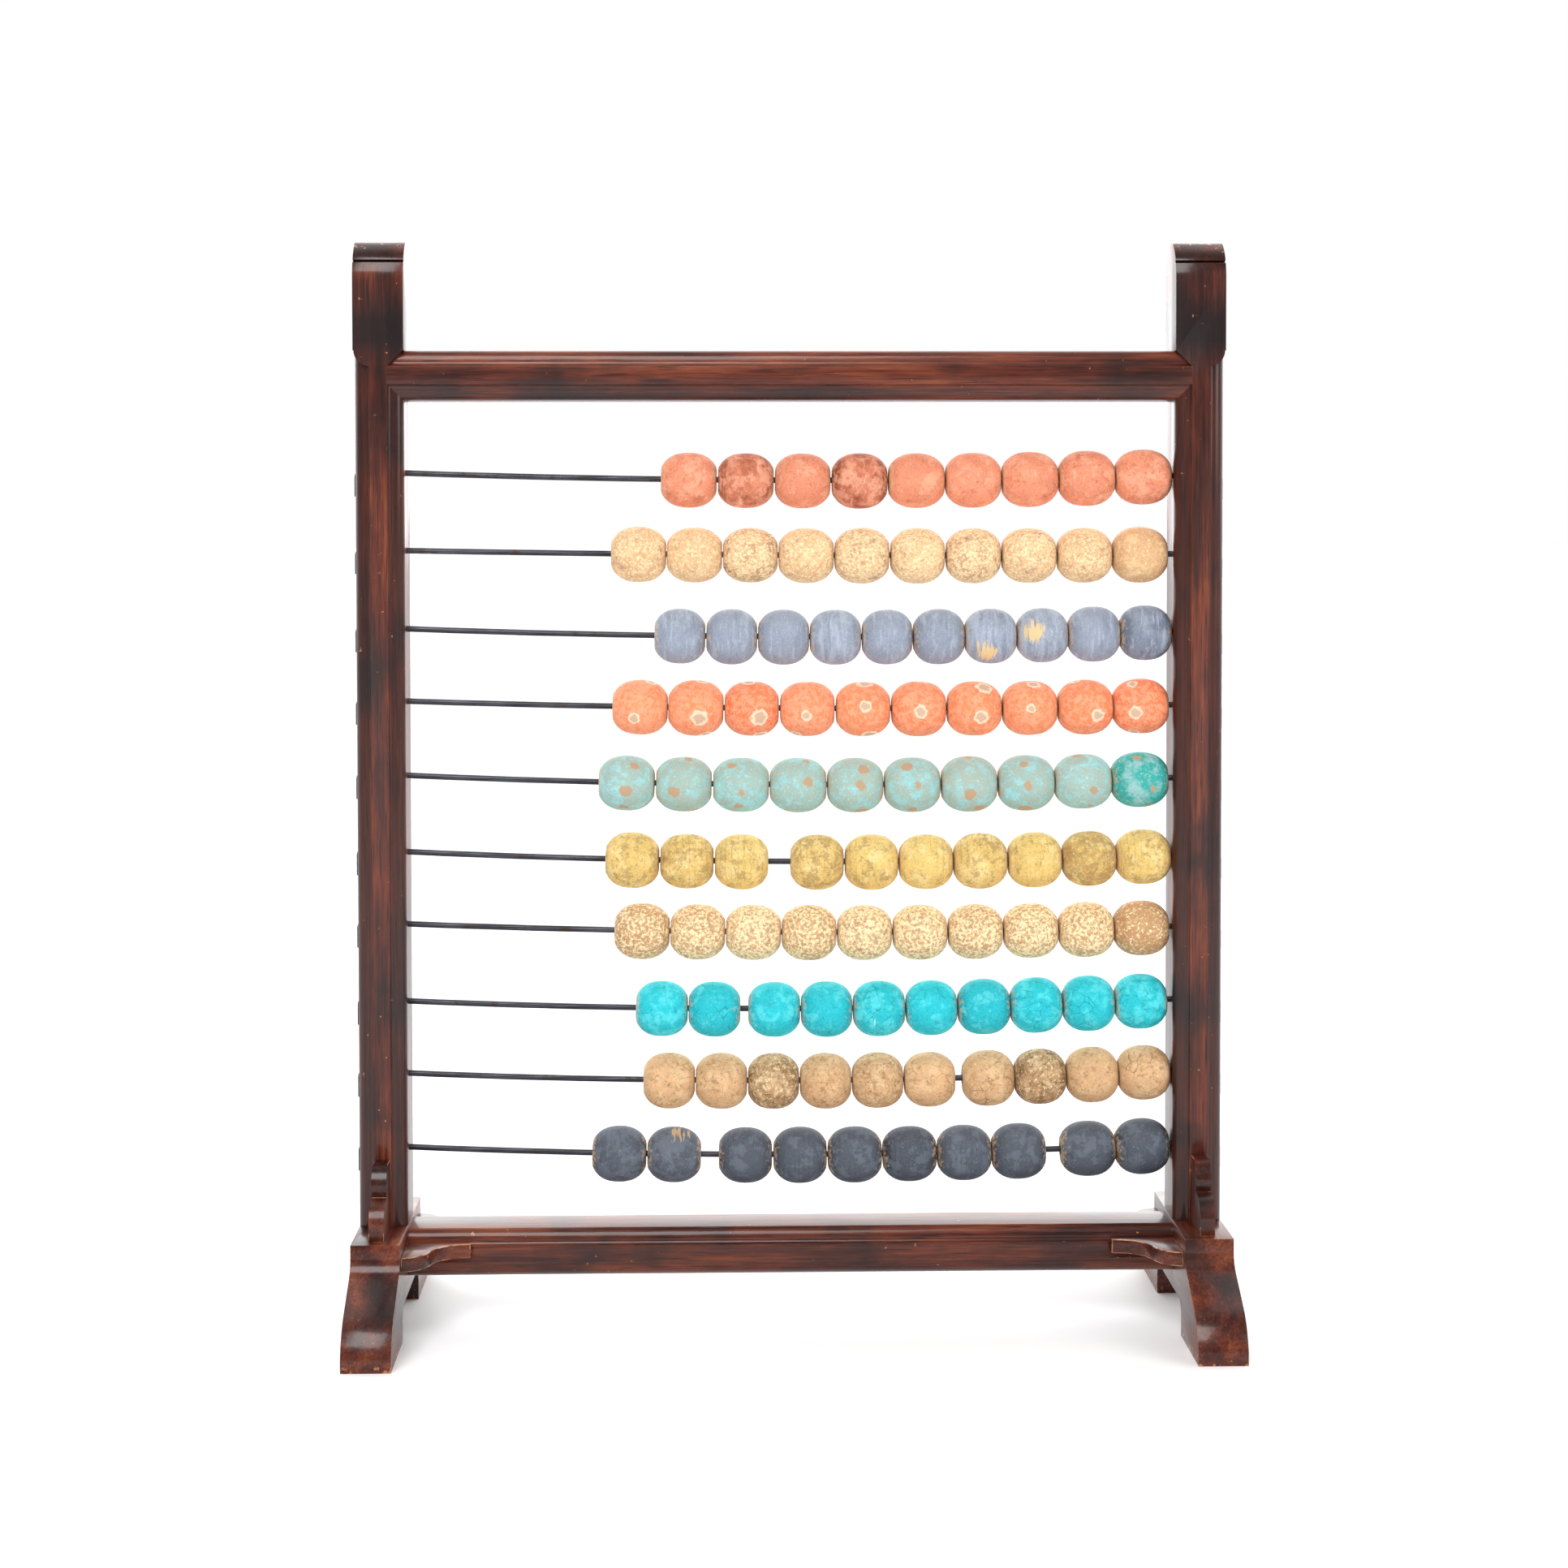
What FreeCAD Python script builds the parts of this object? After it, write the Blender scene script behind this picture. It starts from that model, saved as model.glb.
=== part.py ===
import FreeCAD, Part
import math
import os
import re
import Sketcher

# A school counting frame: a moulded wooden frame on two scrolled feet, ten bent wires and 99 turned beads.
# Axes: +X along the wires, the front faces -Y, +Z up. The origin is under the middle, on the floor.

doc = FreeCAD.newDocument("counting_frame")
sizes = doc.addObject("Spreadsheet::Sheet", "Sizes")

FRAME_SIZES = {
    "overall_height": 603.4,
    "clear_width": 427.4,
    "post_width": 26.8,
    "post_depth": 34.0,
    "edge_radius": 1.5,
    "joint_gap": 0.05,
    # how far a cut runs past the wood, and a tenon back into its own rail
    "run_over": 1.0,
    # the moulding worked along the show edges of posts and rails: a cove, then a round
    "moulding_width": 8.6,
    "moulding_depth": 6.5,
    "cove_width": 2.6,
    "cove_depth": 2.0,
    "cove_radius": 2.6,
    "round_radius": 6.6,
    # the scroll that ends each post
    "finial_height": 60.8,
    "finial_proud": 0.5,
    "scroll_rise": 22.0,
    "scroll_flat": 6.5,
    "scroll_crown": 2.2,
    "scroll_radius": 22.0,
    "scroll_line_drop": 11.5,
    "scroll_line_back": 3.6,
    "scroll_line_root": 0.9,
    "scroll_line_spread": 1.8,
    "scroll_line_mouth": 4.5,
    # rails and the tenons on their ends
    "rail_depth": 34.0,
    "top_rail_height": 27.2,
    "bottom_rail_height": 26.4,
    "rail_step": 1.9,
    "tenon_thick": 9.0,
    "tenon_margin": 6.0,
    "tenon_long": 14.0,
    "stub_tenon_long": 5.5,
    "foot_tenon": 15.0,
    "foot_tenon_long": 18.0,
    # feet, seen from the side: how far each point stands in front of the post, and how high
    "ledge_height": 56.5,
    "ledge_reach": 36.6,
    "shoulder_drop": 7.5,
    "hollow_reach": 42.8,
    "hollow_height": 39.8,
    "hollow_radius": 12.0,
    "slope_reach": 65.4,
    "slope_height": 26.9,
    "toe_reach": 80.6,
    "toe_height": 7.0,
    "toe_radius": 31.0,
    "pad_length": 56.0,
    "riser_height": 10.0,
    "arch_radius": 9.0,
    # the scalloped brackets that stand on the ledges, and the braces beside the feet
    "bracket_thick": 8.3,
    "bracket_height": 38.0,
    "bracket_top_reach": 10.5,
    "bracket_foot_reach": 31.0,
    "bracket_toe": 5.0,
    "bracket_waist_reach": 16.5,
    "bracket_waist_rise": 21.0,
    "upper_scallop_radius": 12.0,
    "lower_scallop_radius": 13.0,
    "brace_rise": 12.0,
    "brace_thick": 8.0,
    "brace_length": 35.5,
    "brace_reach": 32.0,
    "brace_tip": 4.0,
    "brace_land": 4.0,
    "brace_waist_in": 15.0,
    "brace_waist_reach": 17.5,
    "brace_round_radius": 17.0,
    "brace_hollow_radius": 19.0,
    # wires and beads
    "wire_diameter": 3.3,
    "clinch_length": 13.0,
    "clinch_bend": 3.2,
    "clinch_proud": 2.0,
    "bead_diameter": 31.4,
    "bead_flat": 13.0,
    "bead_band": 0.6,
    "bead_bore": 6.8,
    "bead_gap": 0.35,
    "bead_hang": 0.35,
}

# Each row from the top down: how far its hole in the left post is off even spacing, the rise from
# there to the hole in the right post, the sag of the wire, a bead's length, and the slack at the right.
ROW_SIZES = [
    (1.8, -1.8, 3.2, 31.4, 0.6),
    (0.6, -2.5, 1.5, 30.8, 2.6),
    (-1.1, -2.3, 3.6, 28.6, 0.6),
    (0.4, -3.2, 2.9, 30.8, 2.0),
    (0.8, -2.8, 4.4, 31.6, 2.0),
    (-0.1, -3.6, 4.5, 30.2, 0.6),
    (1.3, -3.4, 3.8, 30.8, 1.2),
    (-0.1, -1.3, 4.8, 29.1, 2.4),
    (1.2, -1.1, 4.8, 28.9, 0.6),
    (1.5, -1.3, 5.0, 30.4, 0.6),
]

# Beads that slide together, from the left: how many, and the space between them and the next group.
BEAD_GROUPS = [
    [(1, 0.0), (2, 0.0), (3, 0.0), (3, 0.0)],
    [(1, 0.0), (2, 0.0), (3, 0.0), (4, 0.0)],
    [(1, 0.0), (2, 0.0), (3, 0.0), (4, 0.0)],
    [(1, 0.0), (2, 0.0), (3, 0.0), (4, 0.0)],
    [(1, 0.0), (2, 0.0), (3, 0.0), (4, 0.0)],
    [(1, 0.0), (2, 11.7), (3, 0.0), (4, 0.0)],
    [(1, 0.0), (2, 0.0), (3, 0.0), (4, 0.0)],
    [(1, 0.0), (1, 4.0), (3, 0.0), (5, 0.0)],
    [(1, 0.0), (2, 0.0), (3, 3.7), (4, 0.0)],
    [(1, 0.0), (1, 9.2), (6, 8.3), (2, 0.0)],
]
ROW_NAMES = ["left_hole_offset", "right_hole_rise", "wire_sag", "bead_length", "end_slack"]
ROW_COLOURS = [
    "coral", "cream", "grey", "orange", "turquoise", "yellow", "gold", "blue", "natural", "black"
]

# Heights and places that follow from the sizes above.
TOP_RAIL_HIGH = "(overall_height - finial_height)"
TOP_RAIL_LOW = "(overall_height - finial_height - top_rail_height)"
BOTTOM_RAIL_HIGH = "(ledge_height - rail_step)"
BOTTOM_RAIL_LOW = "(ledge_height - rail_step - bottom_rail_height)"
POST_PLACE = "(clear_width + post_width) / 2"
WIRE_LEG = "clear_width / 2 + post_width + clinch_proud - wire_diameter / 2"


def fill_sheet():
    """Writes every driving size into the sheet, with its name as the cell's alias."""
    entries = dict(FRAME_SIZES)
    for row, values in enumerate(ROW_SIZES, 1):
        for name, value in zip(ROW_NAMES, values):
            entries[f"{name}_row_{row}"] = value
    for row, groups in enumerate(BEAD_GROUPS, 1):
        for place, (_, space) in enumerate(groups, 1):
            entries[f"space_row_{row}_group_{place}"] = space
    for line, (name, value) in enumerate(entries.items(), 1):
        sizes.set(f"A{line}", name)
        sizes.set(f"B{line}", str(value))
        sizes.setAlias(f"B{line}", name)
    doc.recompute()


def bound(text):
    """Points the plain names in a formula at the sheet."""
    return re.sub(r"\b([a-z][a-z_0-9]+)\b(?!\()", r"Sizes.\1", text)


def size(text):
    """The number that a formula gives now."""
    return float(sizes.evalExpression(text))


def bind(thing, prop, text):
    """Ties a property to a formula of named sizes."""
    thing.setExpression(prop, bound(text))


def arc_between(start, end, radius):
    """An arc of the given radius: a positive one bends to the left of the way from start to end."""
    chord = end - start
    middle = (start + end) * 0.5
    rise = math.sqrt(max(radius * radius - chord.Length * chord.Length / 4, 0))
    aside = FreeCAD.Vector(-chord.y, chord.x, 0).normalize()
    turn = 1 if radius > 0 else -1
    centre = middle + aside * rise * turn
    first = math.atan2(start.y - centre.y, start.x - centre.x)
    last = math.atan2(end.y - centre.y, end.x - centre.x)
    circle = Part.Circle(centre, FreeCAD.Vector(0, 0, 1), abs(radius))
    if turn > 0:
        return Part.ArcOfCircle(circle, first, last)
    return Part.ArcOfCircle(circle, last, first)


def tie_point(sketch, edge, end, across, up):
    """Holds one end of an edge at the place that two formulas give."""
    for kind, text in (("DistanceX", across), ("DistanceY", up)):
        held = sketch.addConstraint(Sketcher.Constraint(kind, -1, 1, edge, end, size(text)))
        sketch.setExpression(f"Constraints[{held}]", bound(text))


def draw_outline(sketch, corners):
    """Draws a closed outline. A corner is (across, up), or (across, up, radius) at the end of an arc."""
    places = [FreeCAD.Vector(size(corner[0]), size(corner[1]), 0) for corner in corners]
    edges = []
    for index, corner in enumerate(corners):
        start = places[index - 1]
        end = places[index]
        if len(corner) == 2:
            edge = sketch.addGeometry(Part.LineSegment(start, end), False)
            ends = (1, 2)
        else:
            radius = size(corner[2])
            edge = sketch.addGeometry(arc_between(start, end, radius), False)
            held = sketch.addConstraint(Sketcher.Constraint("Radius", edge, abs(radius)))
            sketch.setExpression(f"Constraints[{held}]", f"abs({bound(corner[2])})")
            ends = (1, 2) if radius > 0 else (2, 1)
        edges.append((edge, ends))
    for index, (edge, ends) in enumerate(edges):
        tie_point(sketch, edge, ends[1], corners[index][0], corners[index][1])
        after, after_ends = edges[(index + 1) % len(edges)]
        sketch.addConstraint(Sketcher.Constraint("Coincident", edge, ends[1], after, after_ends[0]))


def new_body(label):
    """An empty body for one solid."""
    return doc.addObject("PartDesign::Body", label)


def new_sketch(body, plane, name, corners, offset="0"):
    """A sketch on one of the body's origin planes, moved along the plane's normal by a formula."""
    sketch = body.newObject("Sketcher::SketchObject", name)
    origin_plane = [item for item in body.Origin.OriginFeatures if item.Role == plane][0]
    sketch.AttachmentSupport = [(origin_plane, "")]
    sketch.MapMode = "FlatFace"
    if offset != "0":
        bind(sketch, "AttachmentOffset.Base.z", offset)
    draw_outline(sketch, corners)
    doc.recompute()
    return sketch


def pad(body, name, sketch, length, midplane=False, backward=False):
    """Adds an outline to the body, a formula's length thick."""
    feature = body.newObject("PartDesign::Pad", name)
    feature.Profile = sketch
    feature.Midplane = midplane
    feature.Reversed = backward
    bind(feature, "Length", length)
    doc.recompute()
    return feature


def pocket(body, name, sketch, length, midplane=False, backward=False):
    """Cuts an outline out of the body, and stops if it cut nothing."""
    before = body.Shape.Volume
    feature = body.newObject("PartDesign::Pocket", name)
    feature.Profile = sketch
    feature.Midplane = midplane
    feature.Reversed = backward
    bind(feature, "Length", length)
    doc.recompute()
    if body.Shape.Volume > before - 1e-6:
        raise RuntimeError(f"{name} cut nothing")
    return feature


def box_corners(left, low, right, high):
    """The corners of a rectangle."""
    return [(left, low), (right, low), (right, high), (left, high)]


def post_section():
    """Half of the section is the mirror of the other: band, cove, round, side, softened back corner."""
    half = "post_width / 2"
    front = "-post_depth / 2"
    back = "post_depth / 2"
    return [
        (f"-({half}) + moulding_width", front, "-cove_radius"),
        (f"{half} - moulding_width", front),
        (f"{half} - moulding_width + cove_width", f"{front} + cove_depth", "-cove_radius"),
        (half, f"{front} + moulding_depth", "round_radius"),
        (half, f"{back} - edge_radius"),
        (f"{half} - edge_radius", back, "edge_radius"),
        (f"-({half}) + edge_radius", back),
        (f"-({half})", f"{back} - edge_radius", "edge_radius"),
        (f"-({half})", f"{front} + moulding_depth"),
        (f"-({half}) + moulding_width - cove_width", f"{front} + cove_depth", "round_radius"),
    ]


def rail_section(low, high):
    """The rail's section across y and z: the post's moulding on both show edges, softened behind."""
    front = "-post_depth / 2"
    back = "rail_depth - post_depth / 2"
    return [
        (front, f"{high} - moulding_width", "-cove_radius"),
        (front, f"{low} + moulding_width"),
        (f"{front} + cove_depth", f"{low} + moulding_width - cove_width", "-cove_radius"),
        (f"{front} + moulding_depth", low, "round_radius"),
        (f"{back} - edge_radius", low),
        (back, f"{low} + edge_radius", "edge_radius"),
        (back, f"{high} - edge_radius"),
        (f"{back} - edge_radius", high, "edge_radius"),
        (f"{front} + moulding_depth", high),
        (f"{front} + cove_depth", f"{high} - moulding_width + cove_width", "round_radius"),
    ]


def finial_section():
    """The scroll from the side: straight cheeks, then a crown of three arcs."""
    deep = "(post_depth / 2)"
    base = TOP_RAIL_HIGH
    spring = "(overall_height - scroll_rise)"
    brow = "(overall_height - scroll_crown)"
    crown_radius = "(scroll_flat * scroll_flat + scroll_crown * scroll_crown) / (2 * scroll_crown)"
    return [
        (f"-{deep}", base),
        (deep, base),
        (deep, spring),
        ("scroll_flat", brow, "scroll_radius"),
        ("-scroll_flat", brow, crown_radius),
        (f"-{deep}", spring, "scroll_radius"),
    ]


def make_post(label, side):
    """A post with its scroll, its foot tenon, and the seat of the top rail. side is -1 on the left."""
    post = new_body(f"{label}_blank")
    shaft = new_sketch(post, "XY_Plane", f"{label}_section", post_section(), "ledge_height")
    pad(post, f"{label}_shaft", shaft, f"{TOP_RAIL_HIGH} - ledge_height")
    scroll = new_sketch(post, "YZ_Plane", f"{label}_scroll_outline", finial_section())
    pad(post, f"{label}_scroll", scroll, "post_width + 2 * finial_proud", midplane=True)
    line_back = "-post_depth / 2 + scroll_line_back"
    line_high = "overall_height - scroll_line_drop"
    line_corners = [
        (f"{line_back} - scroll_line_mouth", f"{line_high} + scroll_line_spread"),
        (f"{line_back} - scroll_line_mouth", f"{line_high} - scroll_line_spread"),
        (f"{line_back} + scroll_line_root", line_high),
    ]
    line = new_sketch(post, "YZ_Plane", f"{label}_scroll_line_outline", line_corners)
    pocket(post, f"{label}_scroll_line", line, "2 * post_width", midplane=True)
    half_tenon = "foot_tenon / 2"
    root = box_corners(f"-{half_tenon}", f"-{half_tenon}", half_tenon, half_tenon)
    tenon = new_sketch(post, "XY_Plane", f"{label}_tenon_outline", root, "ledge_height")
    pad(post, f"{label}_tenon", tenon, "foot_tenon_long", backward=True)

    # under the scroll the outer moulding stops at a rounded lobe, which lies flush with the band
    inner = f"{-side} * (post_width / 2)"
    past = f"{-side} * (post_width / 2 + run_over)"
    band = f"{-side} * (post_width / 2 - moulding_width)"
    low = TOP_RAIL_LOW
    high = TOP_RAIL_HIGH
    round_off = f"{-side} * moulding_width"
    lobe_corners = [
        (f"{side} * (post_width / 2)", high),
        (f"{side} * (post_width / 2 - moulding_width)", f"{high} - moulding_width", round_off),
        (inner, f"{high} - moulding_width"),
        (inner, high),
    ]
    lobe = new_sketch(post, "XZ_Plane", f"{label}_lobe_outline", lobe_corners, "post_depth / 2")
    pad(post, f"{label}_lobe", lobe, "moulding_depth", backward=True)

    # the seat: the rail's band crosses the inner moulding and both mouldings meet on a mitre
    seat_corners = [
        (past, low),
        (inner, low),
        (band, f"{low} + moulding_width"),
        (band, f"{high} - moulding_width"),
        (inner, high),
        (past, high),
    ]
    seat = new_sketch(post, "XZ_Plane", f"{label}_seat_outline", seat_corners, "post_depth / 2")
    pocket(post, f"{label}_seat", seat, "moulding_depth")
    deep = f"{-side} * (post_width / 2 - tenon_long - joint_gap)"
    mortise_corners = box_corners(
        deep, f"{low} + tenon_margin - joint_gap", past, f"{high} - tenon_margin + joint_gap"
    )
    mortise = new_sketch(post, "XZ_Plane", f"{label}_mortise_outline", mortise_corners)
    pocket(post, f"{label}_mortise", mortise, "tenon_thick + 2 * joint_gap", midplane=True)
    bind(post, "Placement.Base.x", f"{side} * {POST_PLACE}")
    doc.recompute()
    return post


def add_tenons(rail, label, low, high, reach, long):
    """A tenon on each end of a rail, from the shoulder into the post or foot."""
    for name, side in (("left", -1), ("right", 1)):
        root = f"{side} * ({reach} - run_over)"
        tip = f"{side} * ({reach} + {long})"
        corners = box_corners(root, f"{low} + tenon_margin", tip, f"{high} - tenon_margin")
        outline = new_sketch(rail, "XZ_Plane", f"{label}_{name}_tenon_outline", corners)
        pad(rail, f"{label}_{name}_tenon", outline, "tenon_thick", midplane=True)


def make_top_rail():
    """The top rail: its band runs onto the posts, and its ends are cut back behind the moulding."""
    low = TOP_RAIL_LOW
    high = TOP_RAIL_HIGH
    shoulder = "clear_width / 2"
    tip = "(clear_width / 2 + moulding_width)"
    past = f"({tip} + run_over)"
    rail = new_body("top_rail")
    section = new_sketch(rail, "YZ_Plane", "top_rail_section", rail_section(low, high))
    pad(rail, "top_rail_length", section, f"2 * {tip}", midplane=True)
    for name, side in (("left", -1), ("right", 1)):
        behind = "-post_depth / 2 + moulding_depth"
        back = box_corners(f"{side} * ({shoulder})", behind, f"{side} * {past}", "post_depth")
        shoulder_cut = new_sketch(rail, "XY_Plane", f"top_rail_{name}_shoulder_outline", back)
        pocket(rail, f"top_rail_{name}_shoulder", shoulder_cut, "2 * overall_height", midplane=True)
        for place, edge, slope in (("lower", low, "+"), ("upper", high, "-")):
            far = "-" if slope == "+" else "+"
            mitre = [
                (f"{side} * ({shoulder})", edge),
                (f"{side} * {past}", f"{edge} {slope} (moulding_width + run_over)"),
                (f"{side} * {past}", f"{edge} {far} run_over"),
                (f"{side} * ({shoulder})", f"{edge} {far} run_over"),
            ]
            mitre_cut = new_sketch(rail, "XZ_Plane", f"top_rail_{name}_{place}_mitre_outline", mitre)
            pocket(rail, f"top_rail_{name}_{place}_mitre", mitre_cut, "2 * post_depth", midplane=True)
    add_tenons(rail, "top_rail", low, high, shoulder, "tenon_long")
    return rail


def make_bottom_rail():
    """The bottom rail, between the two feet."""
    low = BOTTOM_RAIL_LOW
    high = BOTTOM_RAIL_HIGH
    rail = new_body("bottom_rail")
    section = new_sketch(rail, "YZ_Plane", "bottom_rail_section", rail_section(low, high))
    pad(rail, "bottom_rail_length", section, "clear_width", midplane=True)
    add_tenons(rail, "bottom_rail", low, high, "clear_width / 2", "stub_tenon_long")
    return rail


def foot_section():
    """The foot from the side: ledge, hollow, slope, toe, sole and arch, the same both ways."""
    reach = "post_depth / 2 +"
    heel = f"{reach} toe_reach - pad_length"
    front = [
        (f"{reach} ledge_reach", "ledge_height", None),
        (f"{reach} ledge_reach", "ledge_height - shoulder_drop", None),
        (f"{reach} hollow_reach", "hollow_height", "-hollow_radius"),
        (f"{reach} slope_reach", "slope_height", None),
        (f"{reach} toe_reach", "toe_height", "toe_radius"),
        (f"{reach} toe_reach", "0", None),
        (heel, "0", None),
        (heel, "riser_height", None),
        (f"{heel} - arch_radius", "riser_height + arch_radius", "-arch_radius"),
    ]
    corners = []
    # down the front, which lies on the -y side, then back up the other end in reverse
    for across, up, radius in front:
        corners.append((f"-({across})", up) if radius is None else (f"-({across})", up, radius))
    radii = [radius for _, _, radius in front]
    for index in range(len(front) - 1, -1, -1):
        across, up, _ = front[index]
        radius = radii[index + 1] if index + 1 < len(front) else None
        corners.append((across, up) if radius is None else (across, up, radius))
    return corners


def turn_corners(corners):
    """The arcs of an outline for the other way round."""
    turned = []
    for corner in corners:
        if len(corner) == 3:
            radius = corner[2][1:] if corner[2].startswith("-") else f"-{corner[2]}"
            turned.append((corner[0], corner[1], radius))
        else:
            turned.append(corner)
    return turned


def make_foot(label, side):
    """A foot with a mortise for the post's tenon and one in its inner cheek for the bottom rail."""
    foot = new_body(label)
    outline = new_sketch(foot, "YZ_Plane", f"{label}_outline", foot_section())
    pad(foot, f"{label}_board", outline, "post_width", midplane=True)
    half = "(foot_tenon / 2 + joint_gap)"
    hole = box_corners(f"-{half}", f"-{half}", half, half)
    socket = new_sketch(foot, "XY_Plane", f"{label}_socket_outline", hole, "ledge_height")
    pocket(foot, f"{label}_socket", socket, "foot_tenon_long + joint_gap")
    low = BOTTOM_RAIL_LOW
    high = BOTTOM_RAIL_HIGH
    corners = box_corners(
        f"{-side} * (post_width / 2 - stub_tenon_long - joint_gap)",
        f"{low} + tenon_margin - joint_gap",
        f"{-side} * (post_width / 2 + run_over)",
        f"{high} - tenon_margin + joint_gap",
    )
    mortise = new_sketch(foot, "XZ_Plane", f"{label}_mortise_outline", corners)
    pocket(foot, f"{label}_mortise", mortise, "tenon_thick + 2 * joint_gap", midplane=True)
    bind(foot, "Placement.Base.x", f"{side} * {POST_PLACE}")
    doc.recompute()
    return foot


def bracket_section(way):
    """A scalloped bracket from the side, against the post and on the ledge. way is -1 at the front."""
    root = "(post_depth / 2)"
    low = "ledge_height"
    corners = [
        (f"{way} * {root}", low),
        (f"{way} * {root}", f"{low} + bracket_height"),
        (f"{way} * ({root} + bracket_top_reach)", f"{low} + bracket_height"),
        (f"{way} * ({root} + bracket_waist_reach)", f"{low} + bracket_waist_rise", "-upper_scallop_radius"),
        (f"{way} * ({root} + bracket_foot_reach)", f"{low} + bracket_toe", "-lower_scallop_radius"),
        (f"{way} * ({root} + bracket_foot_reach)", low),
    ]
    return turn_corners(corners) if way < 0 else corners


def make_pair(label, make_board, way):
    """One node of two separate boards, the left one and the right one."""
    boards = [make_board(f"{label}_{name}", side, way) for name, side in (("left", -1), ("right", 1))]
    pair = doc.addObject("Part::Compound", label)
    pair.Links = boards
    doc.recompute()
    return pair


def make_bracket(name, side, way):
    """A bracket board in the middle of its post and foot."""
    body = new_body(name)
    outline = new_sketch(body, "YZ_Plane", f"{name}_outline", bracket_section(way))
    pad(body, f"{name}_board", outline, "bracket_thick", midplane=True)
    bind(body, "Placement.Base.x", f"{side} * {POST_PLACE}")
    doc.recompute()
    return body


def make_brace(name, side, way):
    """An ogee board flat against the rail's face and the foot's cheek. way is -1 at the front."""
    face = "post_depth / 2" if way < 0 else "rail_depth - post_depth / 2"
    cheek = f"{side} * clear_width / 2"
    waist = f"{side} * (clear_width / 2 - brace_waist_in)"
    tip = f"{side} * (clear_width / 2 - brace_length)"
    land = f"{side} * (clear_width / 2 - brace_length + brace_land)"
    corners = [
        (cheek, f"{way} * ({face})"),
        (cheek, f"{way} * ({face} + brace_reach)"),
        (waist, f"{way} * ({face} + brace_waist_reach)", "brace_round_radius"),
        (land, f"{way} * ({face} + brace_tip)", "-brace_hollow_radius"),
        (tip, f"{way} * ({face} + brace_tip)"),
        (tip, f"{way} * ({face})"),
    ]
    if side * way < 0:
        corners = turn_corners(corners)
    body = new_body(name)
    under = f"{BOTTOM_RAIL_LOW} + brace_rise"
    outline = new_sketch(body, "XY_Plane", f"{name}_outline", corners, under)
    pad(body, f"{name}_board", outline, "brace_thick")
    return body


def hole_height(row, side):
    """The height of a row's hole: rows are spaced evenly between the rails, give or take the drill."""
    spaces = len(ROW_SIZES) + 1
    even = f"{BOTTOM_RAIL_HIGH} + ({TOP_RAIL_LOW} - {BOTTOM_RAIL_HIGH}) * {spaces - row} / {spaces}"
    left = f"{even} + left_hole_offset_row_{row}"
    return f"({left})" if side < 0 else f"({left} + right_hole_rise_row_{row})"


def wire_place(row, across):
    """The height and the slope of a row's wire at a place across the frame: one shallow arc."""
    half = size("clear_width / 2")
    rise = size(f"right_hole_rise_row_{row}")
    sag = size(f"wire_sag_row_{row}")
    tilt = math.atan2(rise, 2 * half)
    chord = half / math.cos(tilt)
    radius = (chord * chord + sag * sag) / (2 * sag)
    # the arc's centre stands over the middle of the chord, square to it
    middle = size(hole_height(row, -1)) + rise / 2
    centre_x = -(radius - sag) * math.sin(tilt)
    centre_z = middle + (radius - sag) * math.cos(tilt)
    height = centre_z - math.sqrt(radius * radius - (across - centre_x) ** 2)
    slope = math.degrees(math.asin((across - centre_x) / radius))
    return height, slope


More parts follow.
